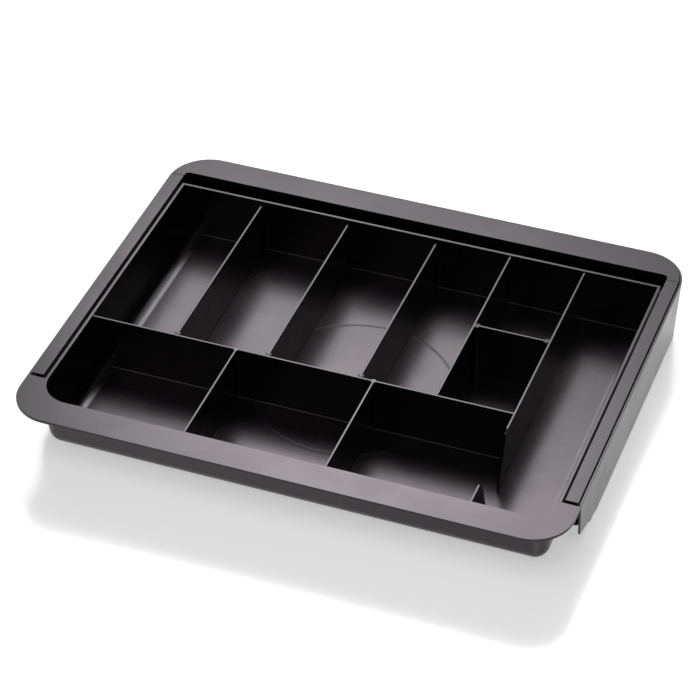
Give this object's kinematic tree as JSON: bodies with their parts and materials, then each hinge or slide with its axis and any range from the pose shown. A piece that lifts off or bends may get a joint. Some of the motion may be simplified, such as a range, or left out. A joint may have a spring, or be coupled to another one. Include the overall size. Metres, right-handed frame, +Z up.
{
  "type": "expandable drawer organizer",
  "caption": "Black plastic desk-drawer organizer: a compartmented front tray with lift-out dividers that slides out of a railed rear tray to fit the drawer's depth.",
  "frame": {"origin": "middle of the footprint with the tray pushed in, on the surface the feet stand on", "axes": "+X to the right-hand side seen from the front, +Y to the back, +Z up; the front tray slides out towards -Y"},
  "size_m": [0.3794, 0.307, 0.0506],
  "materials": {
    "tray_plastic": "satin black moulded polystyrene",
    "trim_plastic": "satin black moulded polystyrene with a fine grain",
    "divider_plastic": "smooth satin black",
    "foot_rubber": "matt black"
  },
  "bodies": {
    "rear_tray": {"rear_tray": "tray_plastic", "left_rail": "trim_plastic", "right_rail": "trim_plastic", "rear_cap": "trim_plastic", "rear_tray_foot_front_left": "foot_rubber", "rear_tray_foot_front_right": "foot_rubber", "rear_tray_foot_back_left": "foot_rubber", "rear_tray_foot_back_right": "foot_rubber"},
    "front_tray": {"front_tray": "tray_plastic", "front_tray_foot_left": "foot_rubber", "front_tray_foot_right": "foot_rubber"},
    "divider_ab": {"divider_ab": "divider_plastic"},
    "divider_bc": {"divider_bc": "divider_plastic"},
    "divider_cd": {"divider_cd": "divider_plastic"},
    "divider_e": {"divider_e": "divider_plastic"}
  },
  "joints": [
    {"name": "tray_slide", "type": "slide", "parent": "rear_tray", "child": "front_tray", "axis": [0, -1, 0], "range_m": [0, 0.12]},
    {"name": "divider_ab_lift", "type": "slide", "parent": "front_tray", "child": "divider_ab", "axis": [0, 0, 1], "range_m": [0, 0.04]},
    {"name": "divider_bc_lift", "type": "slide", "parent": "front_tray", "child": "divider_bc", "axis": [0, 0, 1], "range_m": [0, 0.04]},
    {"name": "divider_cd_lift", "type": "slide", "parent": "front_tray", "child": "divider_cd", "axis": [0, 0, 1], "range_m": [0, 0.04]},
    {"name": "divider_e_lift", "type": "slide", "parent": "front_tray", "child": "divider_e", "axis": [0, 0, 1], "range_m": [0, 0.04]}
  ]
}
